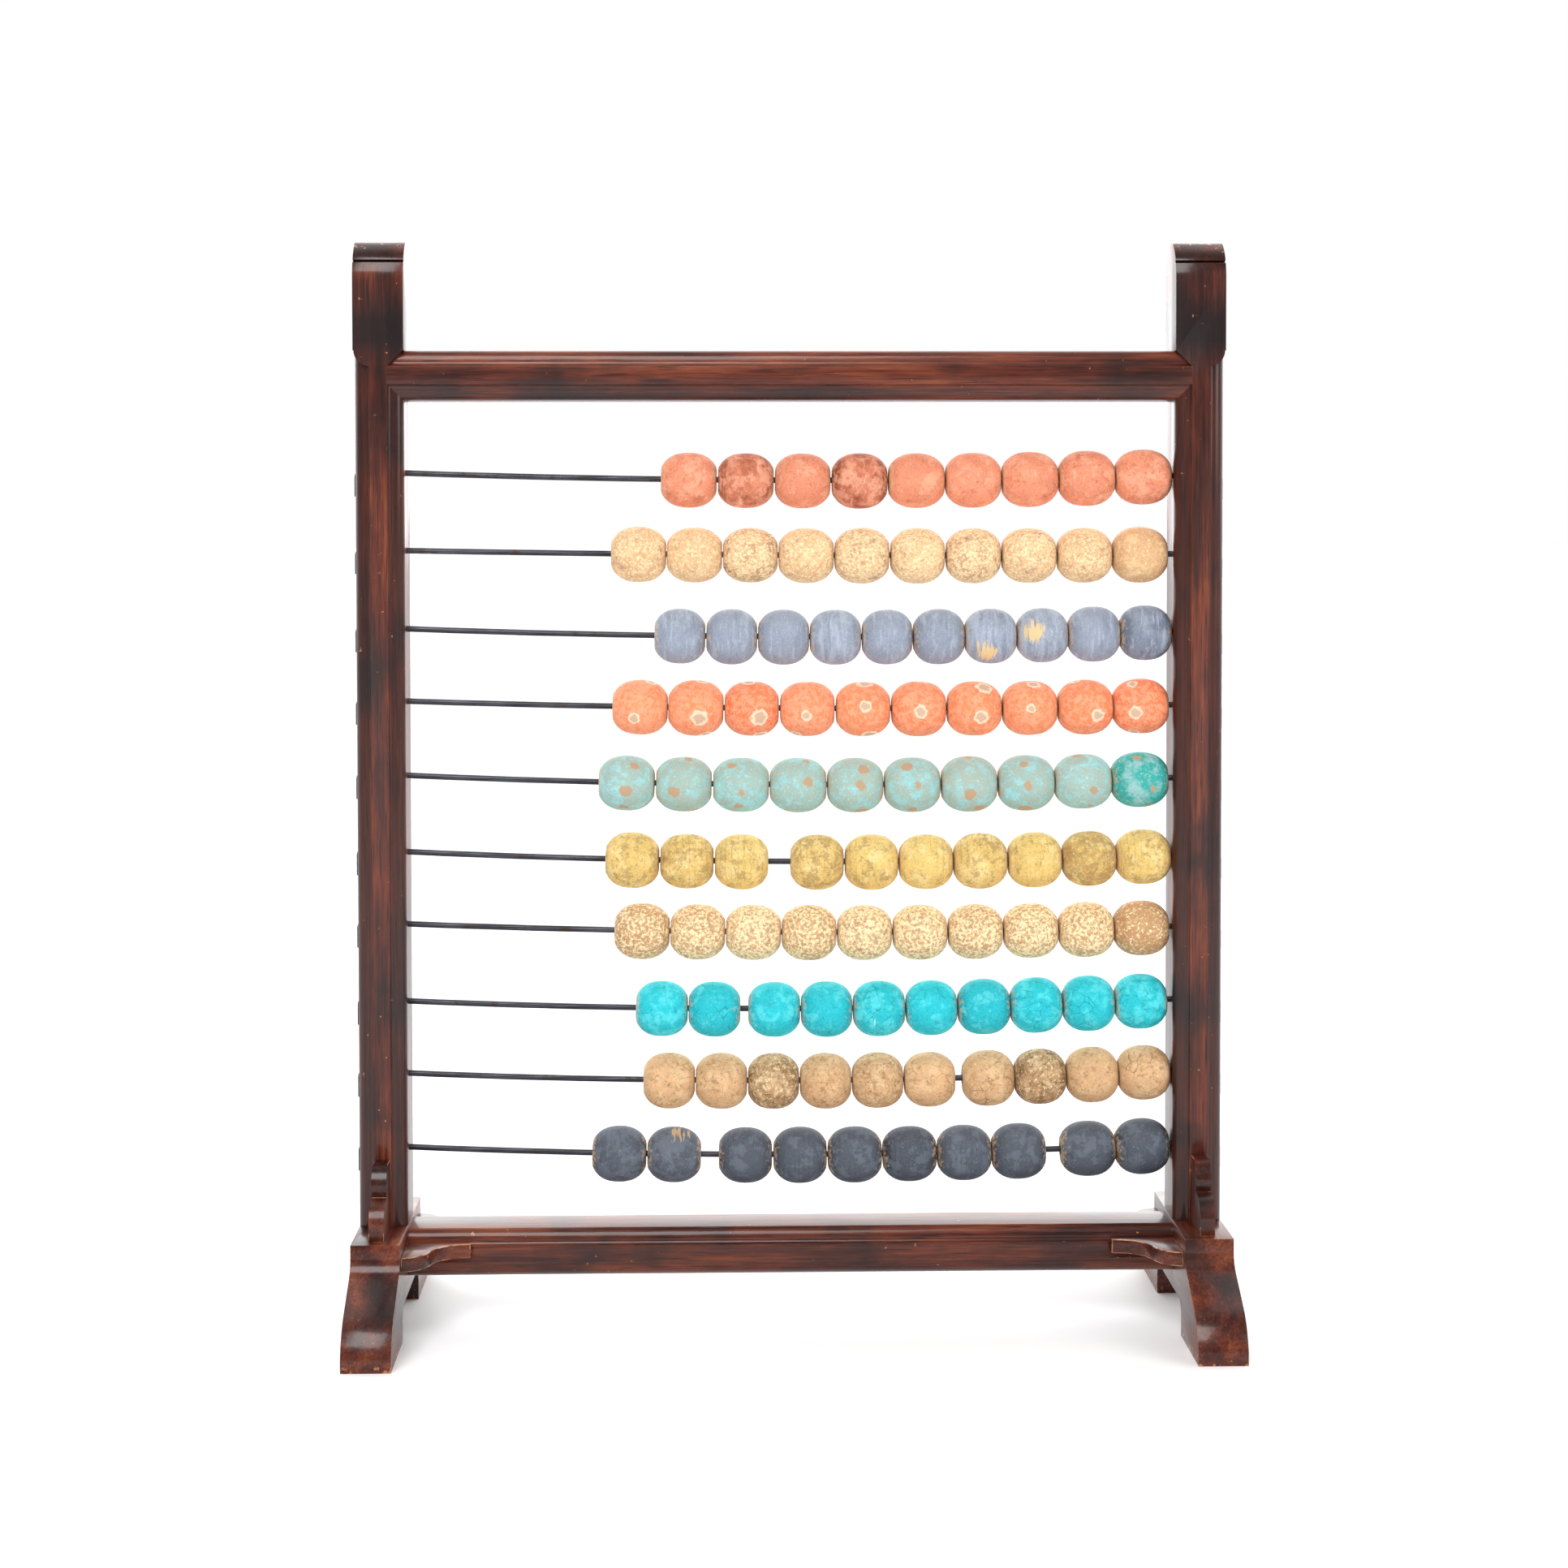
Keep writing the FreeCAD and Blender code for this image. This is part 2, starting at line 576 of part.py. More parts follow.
def wire_path(row):
    """The wire's centre line: up a post's outer face, a tight bend, a sagging arc, and down again."""
    sketch = doc.addObject("Sketcher::SketchObject", f"wire_{row}_path")
    sketch.Placement = FreeCAD.Placement(FreeCAD.Vector(), FreeCAD.Rotation(FreeCAD.Vector(1, 0, 0), 90))
    leg = f"({WIRE_LEG})"
    left = hole_height(row, -1)
    right = hole_height(row, 1)
    leg_x = size(leg)
    bend = size("clinch_bend")
    drop = size("clinch_length")
    left_z = wire_place(row, bend - leg_x)[0]
    middle_z = wire_place(row, 0)[0]
    right_z = wire_place(row, leg_x - bend)[0]
    up = FreeCAD.Vector(0, 0, 1)
    left_circle = Part.Circle(FreeCAD.Vector(bend - leg_x, left_z - bend, 0), up, bend)
    right_circle = Part.Circle(FreeCAD.Vector(leg_x - bend, right_z - bend, 0), up, bend)
    points = [
        FreeCAD.Vector(bend - leg_x, left_z, 0),
        FreeCAD.Vector(0, middle_z, 0),
        FreeCAD.Vector(leg_x - bend, right_z, 0),
    ]
    left_ends = [FreeCAD.Vector(-leg_x, left_z - down, 0) for down in (drop, bend)]
    right_ends = [FreeCAD.Vector(leg_x, right_z - down, 0) for down in (bend, drop)]
    left_leg = Part.LineSegment(left_ends[0], left_ends[1])
    right_leg = Part.LineSegment(right_ends[0], right_ends[1])
    span = Part.Arc(points[0], points[1], points[2])
    leg_1 = sketch.addGeometry(left_leg, False)
    bend_1 = sketch.addGeometry(Part.ArcOfCircle(left_circle, math.pi / 2, math.pi), False)
    sagging = sketch.addGeometry(span, False)
    bend_2 = sketch.addGeometry(Part.ArcOfCircle(right_circle, 0, math.pi / 2), False)
    leg_2 = sketch.addGeometry(right_leg, False)
    tie_point(sketch, leg_1, 1, f"-{leg}", f"{left} - clinch_length")
    tie_point(sketch, leg_2, 2, leg, f"{right} - clinch_length")
    for edge in (leg_1, leg_2):
        sketch.addConstraint(Sketcher.Constraint("Vertical", edge))
    for edge in (bend_1, bend_2):
        held = sketch.addConstraint(Sketcher.Constraint("Radius", edge, bend))
        sketch.setExpression(f"Constraints[{held}]", bound("clinch_bend"))
    joins = [
        (leg_1, 2, bend_1, 2),
        (bend_1, 1, sagging, 1),
        (sagging, 2, bend_2, 2),
        (bend_2, 1, leg_2, 1),
    ]
    for join in joins:
        sketch.addConstraint(Sketcher.Constraint("Tangent", *join))
    marks = [
        ("-clear_width / 2", left),
        ("0", f"({left} + {right}) / 2 - wire_sag_row_{row}"),
        ("clear_width / 2", right),
    ]
    for across, height in marks:
        mark = sketch.addGeometry(Part.Point(FreeCAD.Vector(size(across), size(height), 0)), True)
        tie_point(sketch, mark, 1, across, height)
        sketch.addConstraint(Sketcher.Constraint("PointOnObject", mark, 1, sagging))
    doc.recompute()
    return sketch


def sweep_wire(label, path, row, radius):
    """A round bar of the given radius along a wire's path."""
    section = doc.addObject("Part::Circle", f"{label}_section")
    bind(section, "Radius", radius)
    bind(section, "Placement.Base.x", f"-({WIRE_LEG})")
    bind(section, "Placement.Base.z", f"{hole_height(row, -1)} - clinch_length")
    doc.recompute()
    bar = doc.addObject("Part::Sweep", label)
    bar.Sections = [section]
    bar.Spine = (path, [f"Edge{edge}" for edge in range(1, 6)])
    bar.Solid = True
    bar.Frenet = False
    doc.recompute()
    return bar


def turn_bead(row):
    """One bead of a row, turned about the x axis: ball ends, a narrow band between them, flat faces
    and a loose bore. The band takes up the bead's length, and a short bead has wider flats instead."""
    body = new_body(f"bead_row_{row}")
    end = f"bead_length_row_{row} / 2"
    ball = "bead_diameter / 2"
    ball_reach = "sqrt(bead_diameter * bead_diameter / 4 - bead_flat * bead_flat / 4)"
    band = f"max({end} - {ball_reach}; bead_band / 2)"
    flat = f"sqrt(bead_diameter * bead_diameter / 4 - ({end} - {band}) * ({end} - {band}))"
    corners = [
        (f"-{end}", "bead_bore / 2"),
        (end, "bead_bore / 2"),
        (end, flat),
        (band, ball, ball),
        (f"-({band})", ball),
        (f"-{end}", flat, ball),
    ]
    outline = new_sketch(body, "XY_Plane", f"bead_row_{row}_outline", corners)
    turning = body.newObject("PartDesign::Revolution", f"bead_row_{row}_turning")
    turning.Profile = outline
    turning.ReferenceAxis = (outline, ["H_Axis"])
    turning.Angle = 360
    doc.recompute()
    return body


def thread_beads(row, colour, bead):
    """Hangs a row's beads on its wire, packed against the right post, as groups of separate solids."""
    length = size(f"bead_length_row_{row}")
    pitch = length + size("bead_gap")
    edge = size(f"clear_width / 2 - end_slack_row_{row}")
    nodes = []
    groups = BEAD_GROUPS[row - 1]
    for place in range(len(groups), 0, -1):
        edge -= size(f"space_row_{row}_group_{place}")
        count = groups[place - 1][0]
        solids = []
        first = None
        for index in range(count):
            across = edge - length / 2
            height, slope = wire_place(row, across)
            seat = FreeCAD.Vector(across, 0, height - size("bead_hang"))
            first = first or seat
            solid = bead.Shape.copy()
            lean = FreeCAD.Rotation(FreeCAD.Vector(0, -1, 0), slope)
            solid.Placement = FreeCAD.Placement(seat - first, lean)
            solids.append(solid)
            edge -= pitch
        group = doc.addObject("Part::Feature", f"{colour}_beads_{place}")
        group.Shape = Part.Compound(solids) if count > 1 else solids[0]
        group.Placement = FreeCAD.Placement(first, group.Placement.Rotation)
        nodes.append(group)
    return nodes[::-1]


fill_sheet()

wires = []
bores = []
nodes = []
for row, colour in enumerate(ROW_COLOURS, 1):
    path = wire_path(row)
    wires.append(sweep_wire(f"wire_{row}", path, row, "wire_diameter / 2"))
    bores.append(sweep_wire(f"bore_{row}", path, row, "wire_diameter / 2 + joint_gap"))
    nodes += thread_beads(row, colour, turn_bead(row))
nodes += wires

bore_set = doc.addObject("Part::Compound", "wire_bores")
bore_set.Links = bores
for label, side in (("left_post", -1), ("right_post", 1)):
    post = doc.addObject("Part::Cut", label)
    post.Base = make_post(label, side)
    post.Tool = bore_set
    nodes.append(post)
nodes.append(make_top_rail())
nodes.append(make_bottom_rail())
nodes.append(make_foot("left_foot", -1))
nodes.append(make_foot("right_foot", 1))
for end, way in (("front", -1), ("rear", 1)):
    nodes.append(make_pair(f"{end}_brackets", make_bracket, way))
    nodes.append(make_pair(f"{end}_braces", make_brace, way))
doc.recompute()

# every object has to be sound before anything is written
for thing in doc.Objects:
    if "Invalid" in thing.State or "Error" in thing.State:
        raise RuntimeError(f"{thing.Label} is {thing.State}")
os.makedirs("parts", exist_ok=True)
for node in nodes:
    if node.Shape.isNull() or not node.Shape.isValid():
        raise RuntimeError(f"{node.Label} has no valid shape")
    node.Shape.exportStep(f"parts/{node.Label}.step")
print(len(nodes), "nodes written")
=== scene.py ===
# %% [markdown]
# A school counting frame in worn lacquer and rubbed paint.
# The CAD frame gives every size and place. This lesson puts old French polish, blackened wire and
# thin paint on it, one kind of piece at a time. Lengths are in metres, so MM turns millimetres
# into them.

# %% load the frame
import math
import random

import bmesh
import bpy
import numpy as np
from mathutils import Matrix, Vector, noise


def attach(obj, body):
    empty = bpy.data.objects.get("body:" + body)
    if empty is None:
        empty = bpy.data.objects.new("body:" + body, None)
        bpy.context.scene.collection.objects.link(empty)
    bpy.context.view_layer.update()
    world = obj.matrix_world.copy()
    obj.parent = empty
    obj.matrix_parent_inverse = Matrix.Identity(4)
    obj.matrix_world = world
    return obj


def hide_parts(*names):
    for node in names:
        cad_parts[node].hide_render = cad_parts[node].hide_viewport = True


MM = 0.001
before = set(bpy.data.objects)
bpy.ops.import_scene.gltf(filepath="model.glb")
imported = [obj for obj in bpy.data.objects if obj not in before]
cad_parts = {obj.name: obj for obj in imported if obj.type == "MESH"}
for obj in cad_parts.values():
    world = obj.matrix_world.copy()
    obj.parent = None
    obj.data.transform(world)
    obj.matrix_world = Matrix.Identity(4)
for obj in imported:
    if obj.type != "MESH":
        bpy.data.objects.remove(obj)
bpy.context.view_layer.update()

# %% [markdown]
# The camera comes first. It stands a little left of the middle, at the height of the third row,
# and looks slightly down and to the right. A long lens keeps the posts upright. The small shift
# lowers the frame of view, so that the feet and the scrolls both fit.

# %% camera
SENSOR = 36.0
LENS = 64.41
CAMERA_PLACE = (-42.4 * MM, -1567 * MM, 457 * MM)
TURN_RIGHT = math.radians(1.42)
TIP_DOWN = math.radians(1.84)
ROLL = math.radians(-0.065)
SHIFT_UP = -0.12

camera = bpy.data.objects.new("camera", bpy.data.cameras.new("camera"))
bpy.context.scene.collection.objects.link(camera)
camera.data.sensor_width = SENSOR
camera.data.lens = LENS
camera.data.shift_y = SHIFT_UP
camera.matrix_world = (
    Matrix.Translation(CAMERA_PLACE)
    @ Matrix.Rotation(-TURN_RIGHT, 4, "Z")
    @ Matrix.Rotation(math.pi / 2 - TIP_DOWN, 4, "X")
    @ Matrix.Rotation(ROLL, 4, "Z")
)
bpy.context.scene.camera = camera
bpy.context.scene.view_settings.view_transform = "Standard"
print("camera", LENS, "mm lens at", CAMERA_PLACE)

# %% [markdown]
# Materials need three small tools. One turns a hex colour into the linear numbers that shaders
# take. One says how many spots of a given size fit in a metre. One adds a node with its settings
# and links, whatever kind it is, and gives back the output that the next node needs. A key in
# the settings is a property's name, a socket's name or a socket's number.

# %% material tools
def colour(hex_code):
    """The linear colour of an sRGB hex code."""
    shares = [int(hex_code[i : i + 2], 16) / 255 for i in (1, 3, 5)]
    return (*[s / 12.92 if s <= 0.04045 else ((s + 0.055) / 1.055) ** 2.4 for s in shares], 1.0)


def spots(millimetres):
    """The texture scale that makes spots of about this size."""
    return 1 / (millimetres * MM)


def add(tree, kind, settings=None, links=None, out=0):
    """Adds a shader node with its settings and links, and gives back one of its outputs."""
    node = tree.nodes.new("ShaderNode" + kind)
    for key, value in (settings or {}).items():
        if key == "stops":
            ramp = node.color_ramp
            while len(ramp.elements) < len(value):
                ramp.elements.new(0.5)
            for element, (place, code) in zip(ramp.elements, value):
                element.position = place
                element.color = colour(code)
        elif isinstance(key, str) and hasattr(node, key):
            setattr(node, key, value)
        else:
            node.inputs[key].default_value = value
    for key, source in (links or {}).items():
        tree.links.new(source, node.inputs[key])
    return node.outputs[out] if node.outputs else None


def new_material(name):
    """An empty material: its tree, its shader and the object coordinates."""
    material = bpy.data.materials.new(name)
    material.use_nodes = True
    tree = material.node_tree
    tree.nodes.clear()
    surface = add(tree, "BsdfPrincipled")
    add(tree, "OutputMaterial", links={"Surface": surface})
    place = add(tree, "TexCoord", out="Object")
    return material, tree, surface.node, place


# the sockets of a colour mix: how much, what lies below, what lies above, and the result
AMOUNT, BELOW, ABOVE, MIXED = 0, 6, 7, 2
# the sockets of a range: the value, where it starts and ends, and what it becomes there
VALUE, LOW, HIGH, TO_LOW, TO_HIGH = range(5)
# the sockets of a sum or product, and the settings that choose one
FIRST, SECOND, THIRD = range(3)
TIMES = {"operation": "MULTIPLY"}
SCALED_SUM = {"operation": "MULTIPLY_ADD"}
COLOURS = {"data_type": "RGBA"}
print("white is", colour("#ffffff"), "and 2 mm spots need a scale of", spots(2))

# %% [markdown]
# The frame is mahogany under old French polish: red-brown wood whose grain runs the length of
# each board, darkened in broad patches of dust, with painted shade in the moulding hollows and
# on the lower half of each scroll, and pale along every arris, partly from wear and partly as a
# painted highlight. The grain is noise stretched along one axis, so each direction of board has
# its own material. The colours go on in this order: wood, pores, dust, painted shade, then the
# pale edges and knocks on top. The fibres are drawn about three times too coarse, because real
# ones would be too fine to see.

# %% mahogany
X, Y, Z = range(3)
# how far forward the posts' show face and the back of its moulding lie, in millimetres
SHOW_FACE = -17.0
MOULDING_BACK = -10.5
MOULDING_START = SHOW_FACE + 0.4
MOULDING_DEEP = SHOW_FACE + 1.8
MOULDING_END = MOULDING_BACK + 1
MOULDING_CLEAN = MOULDING_BACK - 1
GRAIN_STRETCH = 0.03
FIGURE_STRETCH = 0.14
WOOD_STOPS = [
    (0.36, "#180a08"),
    (0.48, "#38160f"),
    (0.58, "#5a2617"),
    (0.68, "#783a21"),
    (0.80, "#95582f"),
]


def mahogany(name, axis, scuffed, hollow_shade=True, painted_shade_heights=None):
    """French-polished mahogany with pale arrises, partly wear and partly a painted highlight. Scuffs and
    painted shade are given by their heights.
    """
    material, tree, shader, place = new_material(name)
    along = [1.0, 1.0, 1.0]
    along[axis] = GRAIN_STRETCH
    broad = [1.0, 1.0, 1.0]
    broad[axis] = FIGURE_STRETCH
    fine_place = add(tree, "Mapping", {"Scale": along}, {"Vector": place})
    broad_place = add(tree, "Mapping", {"Scale": broad}, {"Vector": place})
    thin = {"Scale": spots(1.7), "Detail": 6.0, "Roughness": 0.7}
    wide = {"Scale": spots(17), "Detail": 4.0, "Roughness": 0.6}
    rough = {"Scale": spots(7), "Detail": 5.0, "Roughness": 0.75}
    fibres = add(tree, "TexNoise", thin, {"Vector": fine_place})
    figure = add(tree, "TexNoise", wide, {"Vector": broad_place})
    pores = add(tree, "TexNoise", {"Scale": spots(0.8), "Detail": 2.0}, {"Vector": fine_place})
    dust = add(tree, "TexNoise", {"Scale": spots(48), "Detail": 3.0}, {"Vector": place})
    rub = add(tree, "TexNoise", rough, {"Vector": broad_place})
    chips = add(tree, "TexNoise", {"Scale": spots(3.2), "Detail": 3.0}, {"Vector": place})
    arris = add(tree, "Attribute", {"attribute_name": "arris"}, out="Fac")
    depth = add(tree, "SeparateXYZ", links={0: place}, out="Y")
    height = add(tree, "SeparateXYZ", links={0: place}, out="Z")

    # wood: fibres and broad figure together choose a colour from dark to light
    half_figure = add(tree, "Math", {**TIMES, SECOND: 0.72}, {FIRST: figure})
    both = add(tree, "Math", {**SCALED_SUM, SECOND: 0.4}, {FIRST: fibres, THIRD: half_figure})
    wood = add(tree, "ValToRGB", {"stops": WOOD_STOPS}, {0: both})

    # each layer above the wood is a mask and a colour
    layers = []
    # open pores are short dark dashes along the grain
    layers.append((add(tree, "MapRange", {LOW: 0.57, HIGH: 0.68, TO_HIGH: 0.8}, {VALUE: pores}), "#1d0d0b"))
    # polish and dust have gone nearly black in broad patches
    layers.append((add(tree, "MapRange", {LOW: 0.50, HIGH: 0.66, TO_HIGH: 0.8}, {VALUE: dust}), "#1c1010"))
    if hollow_shade:
        # painted shade: the hollows behind the show face are darkened in patches, where shadow falls
        behind = add(tree, "MapRange", {LOW: MOULDING_START * MM, HIGH: MOULDING_DEEP * MM}, {VALUE: depth})
        before = add(tree, "MapRange", {LOW: MOULDING_END * MM, HIGH: MOULDING_CLEAN * MM}, {VALUE: depth})
        hollow = add(tree, "Math", TIMES, {FIRST: behind, SECOND: before})
        patchy_shade = add(tree, "MapRange", {LOW: 0.34, HIGH: 0.6, TO_LOW: 0.25, TO_HIGH: 0.75}, {VALUE: figure})
        layers.append((add(tree, "Math", TIMES, {FIRST: hollow, SECOND: patchy_shade}), "#1b0c0b"))
    if painted_shade_heights:
        # painted shade: the lower half of each scroll, whose upright face turns from the light, is darkened
        start, full, fading, gone = [level * MM for level in painted_shade_heights]
        rising = add(tree, "MapRange", {LOW: start, HIGH: full, TO_HIGH: 0.92}, {VALUE: height})
        falling = add(tree, "MapRange", {LOW: gone, HIGH: fading}, {VALUE: height})
        scroll_shade = add(tree, "Math", TIMES, {FIRST: rising, SECOND: falling})
        layers.append((scroll_shade, "#150f11"))
    # the arris attribute is 1 on the rounded edges, and noise breaks the pale line up; the pale line is
    # partly wear and partly a painted highlight
    layers.append((add(tree, "Math", {**TIMES, SECOND: 0.6}, {FIRST: arris}), "#6e3a25"))
    worn = add(tree, "MapRange", {LOW: 0.44, HIGH: 0.56, TO_HIGH: 0.8}, {VALUE: rub})
    layers.append((add(tree, "Math", TIMES, {FIRST: arris, SECOND: worn}), "#d09a76"))
    # small knocks in the flats, and knocks that run together at the scuffed end
    layers.append((add(tree, "MapRange", {LOW: 0.75, HIGH: 0.78}, {VALUE: chips}), "#a8683f"))
    sound, battered = [level * MM for level in scuffed]
    near = add(tree, "MapRange", {LOW: sound, HIGH: battered, TO_HIGH: 0.21}, {VALUE: height})
    knocked = add(tree, "Math", {"operation": "ADD"}, {FIRST: chips, SECOND: near})
    layers.append((add(tree, "MapRange", {LOW: 0.72, HIGH: 0.80, TO_HIGH: 0.8}, {VALUE: knocked}), "#bd8157"))
    for mask, code in layers:
        wood = add(tree, "Mix", {**COLOURS, ABOVE: colour(code)}, {AMOUNT: mask, BELOW: wood}, MIXED)
    tree.links.new(wood, shader.inputs["Base Color"])

    # the polish is thin: satin wood shows under it, and it mirrors only the brightest things
    satin = add(tree, "MapRange", {LOW: 0.3, HIGH: 0.7, TO_LOW: 0.32, TO_HIGH: 0.52}, {VALUE: figure})
    tree.links.new(satin, shader.inputs["Roughness"])
    shader.inputs["Specular IOR Level"].default_value = 0.16
    shader.inputs["Coat Weight"].default_value = 0.42
    shader.inputs["Coat Roughness"].default_value = 0.14
    relief = add(tree, "Bump", {"Strength": 0.35, "Distance": 0.12 * MM}, {"Height": fibres})
    wave = add(tree, "Bump", {"Strength": 0.35, "Distance": 0.6 * MM}, {"Height": figure, "Normal": relief})
    tree.links.new(wave, shader.inputs["Normal"])
    tree.links.new(wave, shader.inputs["Coat Normal"])
    print(name, len(tree.nodes), "nodes")
    return material


# the heights in millimetres where painted shade darkens the lower half of each scroll
FINIAL_PAINTED_SHADE = (522, 548, 560, 588)
SCROLL_SCUFFS = (596, 605)
SOLE_SCUFFS = (8, 0)
post_wood = mahogany("french_polished_mahogany_upright", Z, SCROLL_SCUFFS, painted_shade_heights=FINIAL_PAINTED_SHADE)
rail_wood = mahogany("french_polished_mahogany_level", X, SCROLL_SCUFFS, hollow_shade=False)
foot_wood = mahogany("french_polished_mahogany_foot", Y, SOLE_SCUFFS, hollow_shade=False)

# %% [markdown]
# Each wooden part starts as a merged copy of its CAD board, because the CAD edges are knife
# sharp and no old edge is. Bevel rounds the sharp ones by less than a millimetre, and a face
# attribute remembers which faces it made, so that the material can make them pale, partly as
# wear and partly as a painted highlight.

# %% timber
MERGE = 0.004 * MM
FLAT_ENOUGH = math.radians(0.5)
SHARP = math.radians(27)
SMOOTH_BELOW = math.radians(32)
ROUND_BELOW = math.radians(50)
ARRIS = 0.6 * MM
SHORTEST_ARRIS = 1.9 * MM


def merged_copy(node_name):
    """A bmesh of a CAD node with its triangles joined up."""
    mesh = bmesh.new()
    mesh.from_mesh(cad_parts[node_name].data)
    bmesh.ops.remove_doubles(mesh, verts=mesh.verts, dist=MERGE)
    return mesh


def shade(mesh, smooth_below):
    """Shades every face smooth, and keeps the edges above an angle sharp."""
    for face in mesh.faces:
        face.smooth = True
    for edge in mesh.edges:
        edge.smooth = len(edge.link_faces) == 2 and edge.calc_face_angle() < smooth_below


def finish_piece(mesh, name, material, body, replaced):
    """Turns a bmesh into a piece of the object."""
    data = bpy.data.meshes.new(name)
    mesh.to_mesh(data)
    mesh.free()
    data.materials.append(material)
    piece = bpy.data.objects.new(name, data)
    bpy.context.scene.collection.objects.link(piece)
    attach(piece, body)
    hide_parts(replaced)
    return piece


def soften(mesh, width):
    """Rounds the sharp edges and marks the new faces. Gives the number of edges."""
    arris = mesh.faces.layers.float.new("arris")
    bmesh.ops.dissolve_limit(mesh, angle_limit=FLAT_ENOUGH, verts=mesh.verts, edges=mesh.edges)
    sharp = [
        edge
        for edge in mesh.edges
        if len(edge.link_faces) == 2
        and edge.calc_face_angle() > SHARP
        and edge.calc_length() > SHORTEST_ARRIS
    ]
    made = bmesh.ops.bevel(
        mesh,
        geom=sharp,
        offset=width,
        offset_type="OFFSET",
        affect="EDGES",
        segments=2,
        profile=0.5,
        material=-1,
        clamp_overlap=True,
    )
    for face in made["faces"]:
        face[arris] = 1.0
    shade(mesh, SMOOTH_BELOW)
    return len(sharp)


TIMBERS = {
    "left_post": post_wood,
    "right_post": post_wood,
    "top_rail": rail_wood,
    "bottom_rail": rail_wood,
    "left_foot": foot_wood,
    "right_foot": foot_wood,
    "front_brackets": foot_wood,
    "rear_brackets": foot_wood,
    "front_braces": rail_wood,
    "rear_braces": rail_wood,
}
for node_name, wood in TIMBERS.items():
    board = merged_copy(node_name)
    count = soften(board, ARRIS)
    piece = finish_piece(board, f"{node_name}_timber", wood, "frame", node_name)
    print(node_name, count, "sharp edges,", len(piece.data.polygons), "faces")

# %% [markdown]
# The wires are drawn iron rod, blackened in oil. The surface is dark and half dull, with the
# draw marks running along it, and a soft line of light on top. The marks are drawn coarser than
# real ones, which would be too fine to see. The rods are the CAD ones, only shaded smooth.

# %% wires
DRAW_STRETCH = (0.04, 1.0, 1.0)
wire_finish, tree, shader, place = new_material("oil_blackened_drawn_iron")
drawn = add(tree, "Mapping", {"Scale": DRAW_STRETCH}, {"Vector": place})
marks = add(tree, "TexNoise", {"Scale": spots(0.9), "Detail": 4.0}, {"Vector": drawn})
rust = add(tree, "TexNoise", {"Scale": spots(7), "Detail": 5.0}, {"Vector": place})
iron = add(tree, "ValToRGB", {"stops": [(0.35, "#26262b"), (0.65, "#4a4a50")]}, {0: marks})
rusty = add(tree, "MapRange", {LOW: 0.58, HIGH: 0.70}, {VALUE: rust})
iron = add(tree, "Mix", {**COLOURS, ABOVE: colour("#3a2c26")}, {AMOUNT: rusty, BELOW: iron}, MIXED)
tree.links.new(iron, shader.inputs["Base Color"])
shader.inputs["Metallic"].default_value = 0.8
tree.links.new(add(tree, "MapRange", {TO_LOW: 0.3, TO_HIGH: 0.55}, {VALUE: rust}), shader.inputs["Roughness"])
scored = add(tree, "Bump", {"Strength": 0.3, "Distance": 0.05 * MM}, {"Height": marks})
tree.links.new(scored, shader.inputs["Normal"])

ROW_COUNT = 10
for row in range(1, ROW_COUNT + 1):
    rod = merged_copy(f"wire_{row}")
    shade(rod, ROUND_BELOW)
    finish_piece(rod, f"wire_{row}_rod", wire_finish, "frame", f"wire_{row}")
print(ROW_COUNT, "wires")

# %% [markdown]
# Ninety-nine turned beads, painted in ten colours and rubbed for decades. Every paint is the
# same kind of stack: a ground colour, a stain that some beads have more of, then layers of
# patches, flecks, chips, cracks or streaks in real sizes. Each bead carries its own stain and
# wear, and each point on it knows how far it is from the nearest chip, so no two beads of a row
# look alike. The grit is drawn coarser than real brush paint, so that it reads from a distance.
# Distemper is nearly matt, so the gloss is low, and lower still on the paint's worn places.

# %% bead paint
MARKS = ("stain", "wear", "rim", "chip")
BARE_ROUGHNESS = 0.75
PAINT_ROUGHNESS = 0.5
STREAK_STRETCH = (1.0, 0.18, 0.18)
EDGE_SOFTNESS = {"patch": 0.075, "fleck": 0.09, "streak": 0.08, "scuff": 0.06}
RELIEF_KINDS = ("chip", "patch", "crack", "scuff")
RAGGED = 1.1
CHIP_SOFTNESS = 0.15
SCUFF_GATHER = -0.22


